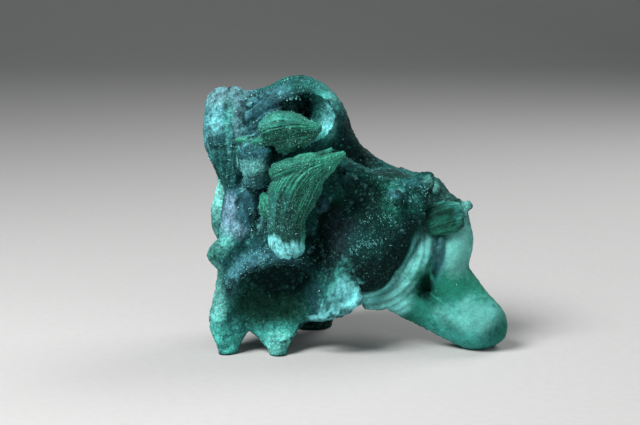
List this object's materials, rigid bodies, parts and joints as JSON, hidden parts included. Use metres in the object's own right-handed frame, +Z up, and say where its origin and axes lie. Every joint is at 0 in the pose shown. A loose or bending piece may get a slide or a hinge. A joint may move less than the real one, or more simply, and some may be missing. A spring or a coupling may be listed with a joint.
{
  "type": "malachite specimen",
  "caption": "Free-standing botryoidal malachite specimen with a hooded top, a cupped skirt, a finger-like foot and fibrous crystal fans seated on its front; a display piece.",
  "frame": {"origin": "on the standing surface, under the middle of the bounding box", "axes": "+X to the right of the front view, +Y away from the front, +Z up"},
  "size_m": [0.0502, 0.0272, 0.0448],
  "materials": {
    "velvet_malachite": "velvety micro-crystalline malachite, dark blue-green on the nodule and pale mint on the edges",
    "fibrous_malachite": "silky parallel fibres in bright green, mint where broken across",
    "dark_fibrous_malachite": "dense dark green fibres with a silky sheen"
  },
  "bodies": {
    "root": {"malachite_mass": "velvet_malachite", "upper_crystal_fan": "fibrous_malachite", "lower_crystal_fan": "fibrous_malachite", "side_crystal_block": "dark_fibrous_malachite"}
  },
  "joints": []
}
